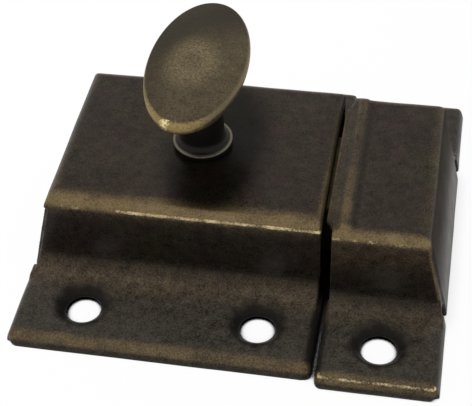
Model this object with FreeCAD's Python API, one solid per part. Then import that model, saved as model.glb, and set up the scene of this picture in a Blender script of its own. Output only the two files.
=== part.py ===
import FreeCAD
import Part
import math
import os

# Cupboard catch latch: a stamped case with an oval turn knob and a sprung bolt, beside its stamped keeper.
# Millimetres. The back of both pans lies on Z = 0, X runs from the case to the keeper, Y along the knob's length.

# Both stamped pans
SHEET = 0.9
DEPTH = 50.8
PAIR_GAP = 0.35
WALL_HALF_DEPTH = 12.6
WALL_DRAFT = math.radians(3.0)
FLANGE_HEIGHT = 1.9
LIP_DRAFT = math.radians(15.0)
GAP_LIP_DRAFT = math.radians(5.0)
LIP_BEND = 1.4
LIP_END_ROUND = 0.5
GAP_CORNER = 1.0
FLAP_BEND = 1.7
CORNER_RELIEF = 0.7
FLAP_SLIT = 0.25
FLAP_NOTCH = 0.2
SCREW_HOLE = 4.2
DIMPLE_DEPTH = 1.1
DIMPLE_SLOPE = math.radians(45.0)
DIMPLE_RIM = 0.3
SCREW_LINE = 19.1

# Case
CASE_WIDTH = 37.05
CASE_HEIGHT = 12.6
CASE_BEND = 1.7
CASE_FLAP_DRAFT = math.radians(13.5)
CASE_FLAP_REVEAL = 0.5
CASE_FOOT = 2.5
CASE_END_SETBACK = 0.55
CASE_END_BEND = 1.0
CASE_END_LIP = 2.0
CASE_HOLE_MARGIN = 8.3
CASE_HOLE_SPACING = 21.5
KNOB_SETBACK = 17.0

# Keeper
KEEPER_WIDTH = 14.6
KEEPER_FORWARD = 1.0
KEEPER_BEND = 1.3
KEEPER_FLAP_DRAFT = math.radians(12.5)
KEEPER_FLAP_REVEAL = 0.2
KEEPER_FOOT = 2.0
KEEPER_END_SETBACK = 0.35
KEEPER_HOLE_MARGIN = 7.0
STRIP_REACH = 0.5
STRIP_WIDTH = 1.4
STRIP_DROOP = 0.3
STRIP_CORNER = 1.3
BEAD_RISE = 0.55
BEAD_RADIUS = 0.5
BEAD_SLOPE = math.radians(52.0)

# Knob
KNOB_LENGTH = 23.8
KNOB_BREADTH = 12.0
KNOB_RIM_RISE = 11.2
KNOB_EDGE = 1.7
KNOB_EDGE_ROUND = 0.7
KNOB_CROWN = 1.0
KNOB_BELLY = 1.7
KNOB_BELLY_HALF = 4.0
STEM_DIAMETER = 5.5
STEM_FOOT_DIAMETER = 7.4
STEM_FOOT_RIM = 0.7
STEM_FLARE = 1.15

# Spindle, cam and washer
JOURNAL_DIAMETER = 4.6
SHANK_DIAMETER = 3.2
SHANK_LENGTH = 7.5
SQUARE = 3.2
TAIL_DIAMETER = 2.8
RIVET_DIAMETER = 4.6
RIVET_HEIGHT = 0.6
WASHER_DIAMETER = 7.0
WASHER_THICKNESS = 0.5
CAM_THICKNESS = 2.4
CAM_HUB_RADIUS = 2.8
CAM_TIP_WIDTH = 1.6
CAM_CURVE_POINTS = 9
KNOB_TURN = math.radians(75.0)

# Bolt, its frame and its spring
BOLT_TRAVEL = 5.6
BOLT_STANDOUT = 0.15
BOLT_WIDTH = 13.0
BOLT_HEADROOM = 1.0
BOLT_NOSE_LIP = 2.4
BOLT_NOSE_ROUND = 0.8
BOLT_WEB = 2.0
BOLT_TAIL = 2.6
BOLT_TAIL_HEIGHT = 7.0
SPRING_PEG_DIAMETER = 3.2
SPRING_PEG_LENGTH = 2.2
FRAME_SHEET = 0.8
FRAME_BEND = 0.8
FRAME_RISE = 1.5
FRAME_TAB_HEIGHT = 8.4
FRAME_TAB_HALF_WIDTH = 6.0
FRAME_END_SETBACK = 1.2
CAM_WINDOW = 12.0
SPRING_DIAMETER = 5.2
SPRING_WIRE = 0.55
SPRING_TURNS = 5.5
SPRING_CLOSED_TURNS = 0.75
SPRING_POINTS_PER_TURN = 12

# Clearances
RUNNING_FIT = 0.06
SLIDE_FIT = 0.1
SIDE_FIT = 0.2
CAM_FIT = 0.08
SLOT_FIT = 0.3
FRAME_FIT = 0.3
SPRING_SEAT = 0.05
PAST = 1.0

# Places worked out from the sizes above
PAIR_WIDTH = CASE_WIDTH + PAIR_GAP + KEEPER_WIDTH
CASE_LEFT = -PAIR_WIDTH / 2
CASE_RIGHT = CASE_LEFT + CASE_WIDTH
KEEPER_LEFT = CASE_RIGHT + PAIR_GAP
KEEPER_RIGHT = KEEPER_LEFT + KEEPER_WIDTH
CASE_END = CASE_RIGHT - CASE_END_SETBACK
CASE_Y = KEEPER_FORWARD / 2
KEEPER_Y = -KEEPER_FORWARD / 2
KNOB_X = CASE_RIGHT - KNOB_SETBACK
KEEPER_HEIGHT = CASE_HEIGHT
STRIP_LEFT = KEEPER_LEFT - STRIP_REACH
CAM_BASE_RADIUS = BOLT_TRAVEL / KNOB_TURN
FRAME_TOP = FRAME_RISE + FRAME_SHEET
WEB_BOTTOM = FRAME_TOP + SLIDE_FIT
WEB_TOP = WEB_BOTTOM + BOLT_WEB
BOLT_HEIGHT = CASE_HEIGHT - CASE_END_LIP - BOLT_HEADROOM - WEB_BOTTOM
CAM_BOTTOM = WEB_TOP + SIDE_FIT
CAM_TOP = CAM_BOTTOM + CAM_THICKNESS
TAIL_FACE = KNOB_X - CAM_HUB_RADIUS - CAM_FIT
TAIL_BACK = TAIL_FACE - BOLT_TAIL
SPRING_Z = WEB_BOTTOM + BOLT_TAIL_HEIGHT / 2
FRAME_RIGHT = CASE_END - FRAME_END_SETBACK
SPINDLE_SLOT_HALF = TAIL_DIAMETER / 2 + SLOT_FIT


def point(x, y, z):
    return FreeCAD.Vector(x, y, z)


def in_end_view(y, z):
    """Place a profile point in the plane across X."""
    return point(0, y, z)


def in_side_view(x, z):
    """Place a profile point in the plane across Y."""
    return point(x, 0, z)


def in_plan(x, y):
    """Place a profile point in the plane across Z."""
    return point(x, y, 0)


def rounded_face(corners, place):
    """Face whose corners (u, v, radius) are rounded with tangent arcs; a radius of 0 keeps the corner sharp."""
    count = len(corners)
    stations = []
    for index, (u, v, radius) in enumerate(corners):
        here = point(u, v, 0)
        before = point(*corners[index - 1][:2], 0)
        after = point(*corners[(index + 1) % count][:2], 0)
        back = (before - here).normalize()
        ahead = (after - here).normalize()
        if radius <= 0:
            stations.append((here, None, here))
            continue
        half = back.getAngle(ahead) / 2
        reach = radius / math.tan(half)
        inward = (back + ahead).normalize()
        middle = here + inward * (radius / math.sin(half) - radius)
        stations.append((here + back * reach, middle, here + ahead * reach))
    edges = []
    for index, (start, middle, end) in enumerate(stations):
        if middle is not None:
            edges.append(Part.Arc(place(*start[:2]), place(*middle[:2]), place(*end[:2])).toShape())
        following = stations[(index + 1) % count][0]
        if (following - end).Length > 1e-6:
            edges.append(Part.makeLine(place(*end[:2]), place(*following[:2])))
    return Part.Face(Part.Wire(edges))


def end_view_prism(corners, x_from, x_to):
    """Prism along X of a profile drawn in Y and Z."""
    face = rounded_face(corners, in_end_view)
    face.translate(point(x_from, 0, 0))
    return face.extrude(point(x_to - x_from, 0, 0))


def side_view_prism(corners, y_from, y_to):
    """Prism along Y of a profile drawn in X and Z."""
    face = rounded_face(corners, in_side_view)
    face.translate(point(0, y_from, 0))
    return face.extrude(point(0, y_to - y_from, 0))


def plan_prism(corners, z_from, z_to):
    """Prism along Z of a profile drawn in X and Y."""
    face = rounded_face(corners, in_plan)
    face.translate(point(0, 0, z_from))
    return face.extrude(point(0, 0, z_to - z_from))


def block(x_from, x_to, y_from, y_to, z_from, z_to):
    corner = point(x_from, y_from, z_from)
    return Part.makeBox(x_to - x_from, y_to - y_from, z_to - z_from, corner)


def rod(diameter, x, y, z_from, z_to):
    return Part.makeCylinder(diameter / 2, z_to - z_from, point(x, y, z_from))


def turned(profile, x, y):
    """Solid turned about the upright axis through (x, y) from a profile of (radius, height) points."""
    points = [point(radius, 0, height) for radius, height in profile]
    face = Part.Face(Part.makePolygon(points + points[:1]))
    solid = face.revolve(point(0, 0, 0), point(0, 0, 1), 360)
    solid.translate(point(x, y, 0))
    return solid


def mirrored_y(shape):
    return shape.mirror(point(0, 0, 0), point(0, 1, 0))


def both_ends(shape):
    """The shape together with its mirror image at the rear."""
    return [shape, mirrored_y(shape)]


def wall_y(z, inset):
    """Half depth of the front and rear walls at height z, for the outer face (inset 0) or one set inward."""
    return WALL_HALF_DEPTH + (CASE_HEIGHT - z) * math.tan(WALL_DRAFT) - inset / math.cos(WALL_DRAFT)


def ceiling():
    """Height of the case top's underside."""
    return CASE_HEIGHT - SHEET


def frame_half_width():
    """Half width of the bolt frame, just clear of the rounded inner edges under the case top."""
    return wall_y(ceiling(), SHEET) - (CASE_BEND - SHEET) - FRAME_FIT


def frame_left():
    """Left end of the bolt frame, where the rounded inner edge above the case's flap ends."""
    flap_inside = ceiling() * math.tan(CASE_FLAP_DRAFT) + SHEET / math.cos(CASE_FLAP_DRAFT)
    return CASE_LEFT + flap_inside + FLAP_BEND - SHEET


def flange_form(x_low, x_high, draft_low, draft_high, corner_low, corner_high, inset):
    """The low slab under a pan: flat top, four turned-down lips that lean outward, corners rounded in plan."""
    low = -PAST if inset else 0
    top = FLANGE_HEIGHT - inset
    bend = LIP_BEND - inset
    setback = inset / math.cos(LIP_DRAFT)
    y_low = DEPTH / 2 - low * math.tan(LIP_DRAFT) - setback
    y_top = DEPTH / 2 - top * math.tan(LIP_DRAFT) - setback
    across = end_view_prism(
        [(-y_low, low, 0), (-y_top, top, bend), (y_top, top, bend), (y_low, low, 0)],
        x_low - PAST,
        x_high + PAST,
    )
    set_low = inset / math.cos(draft_low)
    set_high = inset / math.cos(draft_high)
    along = side_view_prism(
        [
            (x_low + low * math.tan(draft_low) + set_low, low, 0),
            (x_low + top * math.tan(draft_low) + set_low, top, bend),
            (x_high - top * math.tan(draft_high) - set_high, top, bend),
            (x_high - low * math.tan(draft_high) - set_high, low, 0),
        ],
        -DEPTH,
        DEPTH,
    )
    slab = across.common(along)
    if inset:
        return slab
    front = [(x_low, -DEPTH / 2, corner_low), (x_high, -DEPTH / 2, corner_high)]
    rear = [(x, -y, radius) for x, y, radius in reversed(front)]
    return slab.common(plan_prism(front + rear, -PAST, FLANGE_HEIGHT + PAST))


def walls_section(height, bend, foot, inset):
    """End view of a pan's raised box: rounded top edges, drafted walls and a hollow foot onto the flange."""
    low = -PAST if inset else 0
    top = height - inset
    shelf = FLANGE_HEIGHT - inset
    y_top = wall_y(top, inset)
    y_foot = wall_y(shelf, inset)
    y_run = y_foot + (foot + inset) / math.tan(math.pi / 4 + WALL_DRAFT / 2)
    left = [
        (-y_run, low, 0),
        (-y_run, shelf, 0),
        (-y_foot, shelf, foot + inset),
        (-y_top, top, bend - inset),
    ]
    right = [(-y, z, radius) for y, z, radius in reversed(left)]
    return left + right


def box_form(x_low, x_high, draft_low, draft_high, bend_low, bend_high, height, bend, foot, inset):
    """The raised box of a pan, with an end flap or an upright end at each side."""
    low = -PAST if inset else 0
    top = height - inset
    across = end_view_prism(walls_section(height, bend, foot, inset), x_low - PAST, x_high + PAST)
    set_low = inset / math.cos(draft_low)
    set_high = inset / math.cos(draft_high)
    along = side_view_prism(
        [
            (x_low + low * math.tan(draft_low) + set_low, low, 0),
            (x_low + top * math.tan(draft_low) + set_low, top, max(bend_low - inset, 0)),
            (x_high - top * math.tan(draft_high) - set_high, top, max(bend_high - inset, 0)),
            (x_high - low * math.tan(draft_high) - set_high, low, 0),
        ],
        -DEPTH,
        DEPTH,
    )
    return across.common(along)


def end_doorway(height, x_from, x_to):
    """Room between a pan's walls, up to a height, for the bolt to pass an open end."""
    y_low = wall_y(-PAST, SHEET)
    y_high = wall_y(height, SHEET)
    corners = [(-y_low, -PAST, 0), (-y_high, height, 0), (y_high, height, 0), (y_low, -PAST, 0)]
    return end_view_prism(corners, x_from, x_to)


def flap_cuts(x_edge, away, draft, reveal, height):
    """Slits that free an end flap from the walls, the walls' ends set back behind the flap's face, and the notches
    at its foot. away is -1 or 1 along X."""
    top = height - FLAP_BEND
    x_low = min(x_edge + away * PAST, x_edge - away * height / 2)
    x_high = max(x_edge + away * PAST, x_edge - away * height / 2)
    slit = end_view_prism(
        [
            (-wall_y(-PAST, SHEET), -PAST, 0),
            (-wall_y(top, SHEET), top, 0),
            (-wall_y(top, SHEET) + FLAP_SLIT, top, 0),
            (-wall_y(-PAST, SHEET) + FLAP_SLIT, -PAST, 0),
        ],
        x_low,
        x_high,
    )
    beside_flap = end_view_prism(
        [
            (-DEPTH / 2, FLANGE_HEIGHT, 0),
            (-DEPTH / 2, top, 0),
            (-wall_y(top, SHEET) + FLAP_SLIT / 2, top, 0),
            (-wall_y(FLANGE_HEIGHT, SHEET) + FLAP_SLIT / 2, FLANGE_HEIGHT, 0),
        ],
        x_low,
        x_high,
    )
    near_face = side_view_prism(
        [
            (x_edge + away * PAST, FLANGE_HEIGHT, 0),
            (x_edge - away * (FLANGE_HEIGHT * math.tan(draft) + reveal), FLANGE_HEIGHT, 0),
            (x_edge - away * (top * math.tan(draft) + reveal), top, 0),
            (x_edge + away * PAST, top, 0),
        ],
        -DEPTH / 2,
        0,
    )
    wall_end = beside_flap.common(near_face)
    notch_inner = x_edge - away * (SHEET + FLAP_SLIT)
    notch = block(
        min(x_edge + away * PAST, notch_inner),
        max(x_edge + away * PAST, notch_inner),
        -wall_y(0, 0) - FLAP_NOTCH,
        -wall_y(0, SHEET) + FLAP_SLIT,
        -PAST,
        FLANGE_HEIGHT + FLAP_NOTCH,
    )
    return both_ends(slit) + both_ends(wall_end) + both_ends(notch)


def corner_reliefs(x_edge, away):
    """Nicks at the outer corners, where the front and rear lips meet the end lip. away is -1 or 1 along X."""
    front = -DEPTH / 2
    inner = x_edge - away * CORNER_RELIEF
    outer = x_edge + away * PAST
    nick = block(
        min(inner, outer), max(inner, outer), front - PAST, front + CORNER_RELIEF, -PAST, FLANGE_HEIGHT + PAST
    )
    return both_ends(nick)


def round_lip_ends(pan, x_edge, away):
    """Round the lower corner of the front and rear lips beside the nicks."""
    end = x_edge - away * CORNER_RELIEF
    picked = []
    for edge in pan.Edges:
        box = edge.BoundBox
        flat = box.ZMax < 1e-4 and box.XLength < 1e-4
        outer = max(abs(box.YMin), abs(box.YMax)) > DEPTH / 2 - 1e-3
        if flat and outer and abs(box.XMin - end) < 1e-3:
            picked.append(edge)
    return pan.makeFillet(LIP_END_ROUND, picked) if picked else pan


def with_screw_holes(pan, places):
    """Press a dimple and punch a screw hole at each place, at the front and at the rear."""
    hole = SCREW_HOLE / 2
    floor = FLANGE_HEIGHT - DIMPLE_DEPTH
    shoulder_z = FLANGE_HEIGHT - DIMPLE_RIM / 2
    shoulder = hole + (shoulder_z - floor) / math.tan(DIMPLE_SLOPE)
    rim = shoulder + DIMPLE_RIM
    under = FLANGE_HEIGHT - SHEET
    pressed = [(0, floor - SHEET / 2), (hole + SHEET / 2, floor - SHEET / 2), (rim, under), (0, under + SHEET / 2)]
    recess = [
        (0, -PAST),
        (hole, -PAST),
        (hole, floor),
        (shoulder, shoulder_z),
        (rim, FLANGE_HEIGHT),
        (rim, FLANGE_HEIGHT + PAST),
        (0, FLANGE_HEIGHT + PAST),
    ]
    for x in places:
        for y in (-SCREW_LINE, SCREW_LINE):
            pan = pan.fuse(turned(pressed, x, y)).cut(turned(recess, x, y))
    return pan


def case_form(inset):
    box = box_form(
        CASE_LEFT,
        CASE_END,
        CASE_FLAP_DRAFT,
        0,
        FLAP_BEND,
        CASE_END_BEND,
        CASE_HEIGHT,
        CASE_BEND,
        CASE_FOOT,
        inset,
    )
    flange = flange_form(CASE_LEFT, CASE_RIGHT, LIP_DRAFT, GAP_LIP_DRAFT, 0, GAP_CORNER, inset)
    return flange.fuse(box)


def make_case_cover():
    pan = case_form(0).cut(case_form(SHEET)).removeSplitter()
    doorway = end_doorway(CASE_HEIGHT - CASE_END_LIP, CASE_END - SHEET - PAST, CASE_RIGHT + PAST)
    knob_hole = rod(JOURNAL_DIAMETER + 2 * RUNNING_FIT, KNOB_X, 0, 0, CASE_HEIGHT + PAST)
    pan = pan.cut([doorway, knob_hole])
    cuts = flap_cuts(CASE_LEFT, -1, CASE_FLAP_DRAFT, CASE_FLAP_REVEAL, CASE_HEIGHT)
    pan = pan.cut(cuts + corner_reliefs(CASE_LEFT, -1))
    pan = round_lip_ends(pan, CASE_LEFT, -1)
    first_hole = CASE_LEFT + CASE_HOLE_MARGIN
    return with_screw_holes(pan, (first_hole, first_hole + CASE_HOLE_SPACING))


def bead_form(inset):
    """The raised bead and the lead-in strip that droops from it towards the keeper's open end."""
    flank = math.tan(BEAD_SLOPE)
    droop = math.atan2(STRIP_DROOP, STRIP_WIDTH)
    crest_z = KEEPER_HEIGHT + BEAD_RISE
    peak_z = crest_z + BEAD_RADIUS * (1 / math.cos(BEAD_SLOPE) - 1)
    crest_x = STRIP_LEFT + STRIP_WIDTH + (peak_z - KEEPER_HEIGHT) / flank
    apex_z = peak_z - inset / math.cos(BEAD_SLOPE)
    strip_z = KEEPER_HEIGHT - STRIP_DROOP - inset / math.cos(droop)
    strip_rise = math.tan(droop)
    foot_x = (apex_z - crest_x * flank - strip_z + STRIP_LEFT * strip_rise) / (strip_rise - flank)
    left = STRIP_LEFT - (PAST if inset else 0)
    right = crest_x + (apex_z - KEEPER_HEIGHT + inset) / flank
    low = -PAST if inset else KEEPER_HEIGHT - KEEPER_BEND
    ridge = side_view_prism(
        [
            (left, low, 0),
            (left, strip_z - (STRIP_LEFT - left) * strip_rise, 0),
            (foot_x, strip_z + (foot_x - STRIP_LEFT) * strip_rise, 0),
            (crest_x, apex_z, max(BEAD_RADIUS - inset, 0)),
            (right, KEEPER_HEIGHT - inset, 0),
            (right, low, 0),
        ],
        -DEPTH,
        DEPTH,
    )
    top = crest_z - inset
    bend = KEEPER_BEND + BEAD_RISE - inset
    across = end_view_prism(
        [
            (-wall_y(low, inset), low, 0),
            (-wall_y(top, inset), top, bend),
            (wall_y(top, inset), top, bend),
            (wall_y(low, inset), low, 0),
        ],
        STRIP_LEFT - 2 * PAST,
        KEEPER_RIGHT,
    )
    return ridge.common(across)


def keeper_form(inset):
    box = box_form(
        KEEPER_LEFT + KEEPER_END_SETBACK,
        KEEPER_RIGHT,
        0,
        KEEPER_FLAP_DRAFT,
        0,
        FLAP_BEND,
        KEEPER_HEIGHT,
        KEEPER_BEND,
        KEEPER_FOOT,
        inset,
    )
    flange = flange_form(KEEPER_LEFT, KEEPER_RIGHT, GAP_LIP_DRAFT, LIP_DRAFT, GAP_CORNER, 0, inset)
    return flange.fuse([box, bead_form(inset)])


def strip_corner_cuts():
    """Diagonal cuts that end the lead-in strip just before the rounded front and rear edges."""
    edge = KEEPER_LEFT + KEEPER_END_SETBACK
    outer = STRIP_LEFT - PAST
    slant = STRIP_CORNER / (edge - STRIP_LEFT)
    edge_y = -WALL_HALF_DEPTH + KEEPER_BEND
    outer_y = edge_y + (edge - outer) * slant
    cut = plan_prism(
        [(outer, outer_y, 0), (edge, edge_y, 0), (edge, -DEPTH / 2, 0), (outer, -DEPTH / 2, 0)],
        FLANGE_HEIGHT + PAST,
        KEEPER_HEIGHT + BEAD_RISE + PAST,
    )
    return both_ends(cut)


def make_keeper():
    pan = keeper_form(0).cut(keeper_form(SHEET)).removeSplitter()
    cuts = flap_cuts(KEEPER_RIGHT, 1, KEEPER_FLAP_DRAFT, KEEPER_FLAP_REVEAL, KEEPER_HEIGHT)
    cuts += corner_reliefs(KEEPER_RIGHT, 1)
    cuts += strip_corner_cuts()
    pan = round_lip_ends(pan.cut(cuts), KEEPER_RIGHT, 1)
    return with_screw_holes(pan, (KEEPER_LEFT + KEEPER_HOLE_MARGIN,))


def oval_head():
    """Domed oval button, turned round at the full length and then narrowed along X."""
    radius = KNOB_LENGTH / 2
    low = CASE_HEIGHT + KNOB_RIM_RISE
    high = low + KNOB_EDGE
    rim = radius - KNOB_EDGE_ROUND
    middle = (low + high) / 2
    turn_out = KNOB_EDGE_ROUND * math.sqrt(0.5)
    crown_bulge = high + KNOB_CROWN * 0.75
    edges = [
        Part.makeLine(in_side_view(0, low - KNOB_BELLY), in_side_view(0, high + KNOB_CROWN)),
        Part.Arc(
            in_side_view(0, high + KNOB_CROWN), in_side_view(rim / 2, crown_bulge), in_side_view(rim, high)
        ).toShape(),
        Part.Arc(
            in_side_view(rim, high),
            in_side_view(rim + turn_out, high - KNOB_EDGE_ROUND + turn_out),
            in_side_view(radius, high - KNOB_EDGE_ROUND),
        ).toShape(),
        Part.Arc(
            in_side_view(radius, high - KNOB_EDGE_ROUND),
            in_side_view(rim + turn_out, middle - turn_out),
            in_side_view(rim, low),
        ).toShape(),
        Part.Arc(
            in_side_view(rim, low),
            in_side_view((rim + KNOB_BELLY_HALF) / 2, low - KNOB_BELLY * 0.7),
            in_side_view(KNOB_BELLY_HALF, low - KNOB_BELLY),
        ).toShape(),
        Part.makeLine(in_side_view(KNOB_BELLY_HALF, low - KNOB_BELLY), in_side_view(0, low - KNOB_BELLY)),
    ]
    face = Part.Face(Part.Wire(Part.__sortEdges__(edges)))
    head = face.revolve(point(0, 0, 0), point(0, 0, 1), 360)
    narrowing = FreeCAD.Matrix()
    narrowing.scale(KNOB_BREADTH / KNOB_LENGTH, 1, 1)
    return head.transformGeometry(narrowing)


def make_knob():
    """Cast knob: oval head, round stem and a flared foot that rides on the case."""
    low = CASE_HEIGHT + RUNNING_FIT
    stem = STEM_DIAMETER / 2
    foot = STEM_FOOT_DIAMETER / 2
    rim = low + STEM_FOOT_RIM
    reach = foot - stem
    hollow = math.sqrt(0.5)
    top = CASE_HEIGHT + KNOB_RIM_RISE
    edges = [
        Part.makeLine(in_side_view(0, low), in_side_view(foot, low)),
        Part.makeLine(in_side_view(foot, low), in_side_view(foot, rim)),
        Part.Arc(
            in_side_view(foot, rim),
            in_side_view(foot - reach * hollow, rim + STEM_FLARE * (1 - hollow)),
            in_side_view(stem, rim + STEM_FLARE),
        ).toShape(),
        Part.makeLine(in_side_view(stem, rim + STEM_FLARE), in_side_view(stem, top)),
        Part.makeLine(in_side_view(stem, top), in_side_view(0, top)),
        Part.makeLine(in_side_view(0, top), in_side_view(0, low)),
    ]
    shaft = Part.Face(Part.Wire(edges)).revolve(point(0, 0, 0), point(0, 0, 1), 360)
    knob = oval_head().fuse(shaft).removeSplitter()
    knob = knob.cut(rod(SHANK_DIAMETER, 0, 0, low - PAST, low + SHANK_LENGTH))
    knob.translate(point(KNOB_X, 0, 0))
    return knob


def square_prism(side, z_from, z_to):
    half = side / 2
    return block(KNOB_X - half, KNOB_X + half, -half, half, z_from, z_to)


def washer_bottom():
    return FRAME_RISE - RUNNING_FIT - WASHER_THICKNESS


def make_spindle():
    """Pin from the knob's stem through the case, the cam and the frame, with its lower end riveted over."""
    low = washer_bottom()
    top = CASE_HEIGHT + RUNNING_FIT
    rivet_rim = RIVET_DIAMETER / 2
    rivet = turned(
        [(0, low), (rivet_rim, low), (rivet_rim * 0.8, low - RIVET_HEIGHT * 0.6), (0, low - RIVET_HEIGHT)],
        KNOB_X,
        0,
    )
    pieces = [
        rod(SHANK_DIAMETER, KNOB_X, 0, top, top + SHANK_LENGTH),
        square_prism(SQUARE, CAM_BOTTOM, CAM_TOP),
        rod(TAIL_DIAMETER, KNOB_X, 0, low, CAM_BOTTOM),
        rivet,
    ]
    return rod(JOURNAL_DIAMETER, KNOB_X, 0, CAM_TOP, top).fuse(pieces).removeSplitter()


def cam_flank(angle):
    """Point of the involute flank that meets the bolt's upright face once the knob has turned by angle."""
    reach = CAM_HUB_RADIUS + CAM_BASE_RADIUS * angle
    x = -reach * math.cos(angle) + CAM_BASE_RADIUS * math.sin(angle)
    y = -reach * math.sin(angle) - CAM_BASE_RADIUS * math.cos(angle)
    return point(x, y, 0)


def make_drive_cam():
    """Finger cam: an involute flank draws the bolt back by the same amount for each degree of knob turn."""
    flank = [cam_flank(KNOB_TURN * step / (CAM_CURVE_POINTS - 1)) for step in range(CAM_CURVE_POINTS)]
    curve = Part.BSplineCurve()
    curve.interpolate(flank)
    hub = CAM_HUB_RADIUS
    tip = flank[-1]
    step = FreeCAD.Rotation(point(0, 0, 1), math.degrees(CAM_TIP_WIDTH / tip.Length) / 2)
    tip_middle = step.multVec(tip)
    tip_end = step.multVec(tip_middle)
    edges = [
        Part.makeLine(point(-hub, 0, 0), flank[0]),
        curve.toShape(),
        Part.Arc(tip, tip_middle, tip_end).toShape(),
        Part.makeLine(tip_end, point(hub, 0, 0)),
        Part.Arc(point(hub, 0, 0), point(0, hub, 0), point(-hub, 0, 0)).toShape(),
    ]
    cam = Part.Face(Part.Wire(edges)).extrude(point(0, 0, CAM_THICKNESS))
    cam.translate(point(KNOB_X, 0, CAM_BOTTOM))
    return cam.cut(square_prism(SQUARE, CAM_BOTTOM - PAST, CAM_TOP + PAST))


def make_spindle_washer():
    low = washer_bottom()
    washer = rod(WASHER_DIAMETER, KNOB_X, 0, low, low + WASHER_THICKNESS)
    return washer.cut(rod(TAIL_DIAMETER, KNOB_X, 0, low - PAST, FRAME_TOP))


def make_bolt_frame():
    """Folded channel: floor, two side walls up to the case top and an end tab that the spring bears on."""
    low = FRAME_RISE
    top = ceiling()
    left = frame_left()
    wide = frame_half_width()
    inner = wide - FRAME_SHEET
    outer_bend = FRAME_BEND + FRAME_SHEET
    outside = [(-wide, top, 0), (-wide, low, outer_bend), (wide, low, outer_bend), (wide, top, 0)]
    room = [
        (-inner, top + PAST, 0),
        (-inner, FRAME_TOP, FRAME_BEND),
        (inner, FRAME_TOP, FRAME_BEND),
        (inner, top + PAST, 0),
    ]
    channel = end_view_prism(outside, left, FRAME_RIGHT)
    channel = channel.cut(end_view_prism(room, left - PAST, FRAME_RIGHT + PAST))
    tab_top = FRAME_TOP + FRAME_TAB_HEIGHT
    tab = end_view_prism(
        [
            (-FRAME_TAB_HALF_WIDTH, low, 0),
            (-FRAME_TAB_HALF_WIDTH, tab_top, outer_bend),
            (FRAME_TAB_HALF_WIDTH, tab_top, outer_bend),
            (FRAME_TAB_HALF_WIDTH, low, 0),
        ],
        left,
        left + FRAME_SHEET,
    )
    spindle_hole = rod(TAIL_DIAMETER + 2 * RUNNING_FIT, KNOB_X, 0, low - PAST, FRAME_TOP + PAST)
    cam_window = side_view_prism(
        [
            (KNOB_X - CAM_WINDOW / 2, CAM_BOTTOM - SLOT_FIT, FRAME_BEND),
            (KNOB_X + CAM_WINDOW / 2, CAM_BOTTOM - SLOT_FIT, FRAME_BEND),
            (KNOB_X + CAM_WINDOW / 2, CAM_TOP + SLOT_FIT, FRAME_BEND),
            (KNOB_X - CAM_WINDOW / 2, CAM_TOP + SLOT_FIT, FRAME_BEND),
        ],
        -wide - PAST,
        -inner + PAST,
    )
    return channel.fuse(tab).cut([spindle_hole, cam_window]).removeSplitter()


def make_latch_bolt():
    """Sliding bolt: bevelled nose, slotted web under the cam and an upright tail that the cam pushes."""
    tip = CASE_RIGHT + BOLT_STANDOUT + BOLT_TRAVEL
    top = WEB_BOTTOM + BOLT_HEIGHT
    tail_half = SPINDLE_SLOT_HALF
    shoulder = KNOB_X + CAM_HUB_RADIUS + BOLT_TRAVEL + SLOT_FIT
    bevel = BOLT_HEIGHT - BOLT_NOSE_LIP
    nose = side_view_prism(
        [
            (shoulder, WEB_BOTTOM, 0),
            (tip - bevel, WEB_BOTTOM, BOLT_NOSE_ROUND),
            (tip, WEB_BOTTOM + bevel, BOLT_NOSE_ROUND),
            (tip, top, BOLT_NOSE_ROUND),
            (shoulder, top, 0),
        ],
        -BOLT_WIDTH / 2,
        BOLT_WIDTH / 2,
    )
    guide = frame_half_width() - FRAME_SHEET - SIDE_FIT
    web = end_view_prism(
        [
            (-guide, WEB_TOP, 0),
            (-guide, WEB_BOTTOM, FRAME_BEND),
            (guide, WEB_BOTTOM, FRAME_BEND),
            (guide, WEB_TOP, 0),
        ],
        TAIL_BACK,
        shoulder + BOLT_WEB,
    )
    tail = end_view_prism(
        [
            (-guide, WEB_TOP - BOLT_WEB / 2, 0),
            (-guide, WEB_BOTTOM + BOLT_TAIL_HEIGHT, BOLT_NOSE_ROUND),
            (guide, WEB_BOTTOM + BOLT_TAIL_HEIGHT, BOLT_NOSE_ROUND),
            (guide, WEB_TOP - BOLT_WEB / 2, 0),
        ],
        TAIL_BACK,
        TAIL_FACE,
    )
    slot = plan_prism(
        [
            (KNOB_X - tail_half, -tail_half, tail_half),
            (KNOB_X + BOLT_TRAVEL + tail_half, -tail_half, tail_half),
            (KNOB_X + BOLT_TRAVEL + tail_half, tail_half, tail_half),
            (KNOB_X - tail_half, tail_half, tail_half),
        ],
        WEB_BOTTOM - PAST,
        WEB_TOP + SIDE_FIT / 2,
    )
    peg = Part.makeCylinder(
        SPRING_PEG_DIAMETER / 2, SPRING_PEG_LENGTH, point(TAIL_BACK, 0, SPRING_Z), point(-1, 0, 0)
    )
    return web.fuse([nose, tail, peg]).cut(slot).removeSplitter()


def open_share(turn):
    """How open the coil is at a turn: 0 in the closed turns at both ends, 1 between them."""
    from_end = min(turn, SPRING_TURNS - turn)
    return min(1, max(0, 2 * (from_end - SPRING_CLOSED_TURNS)))


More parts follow.
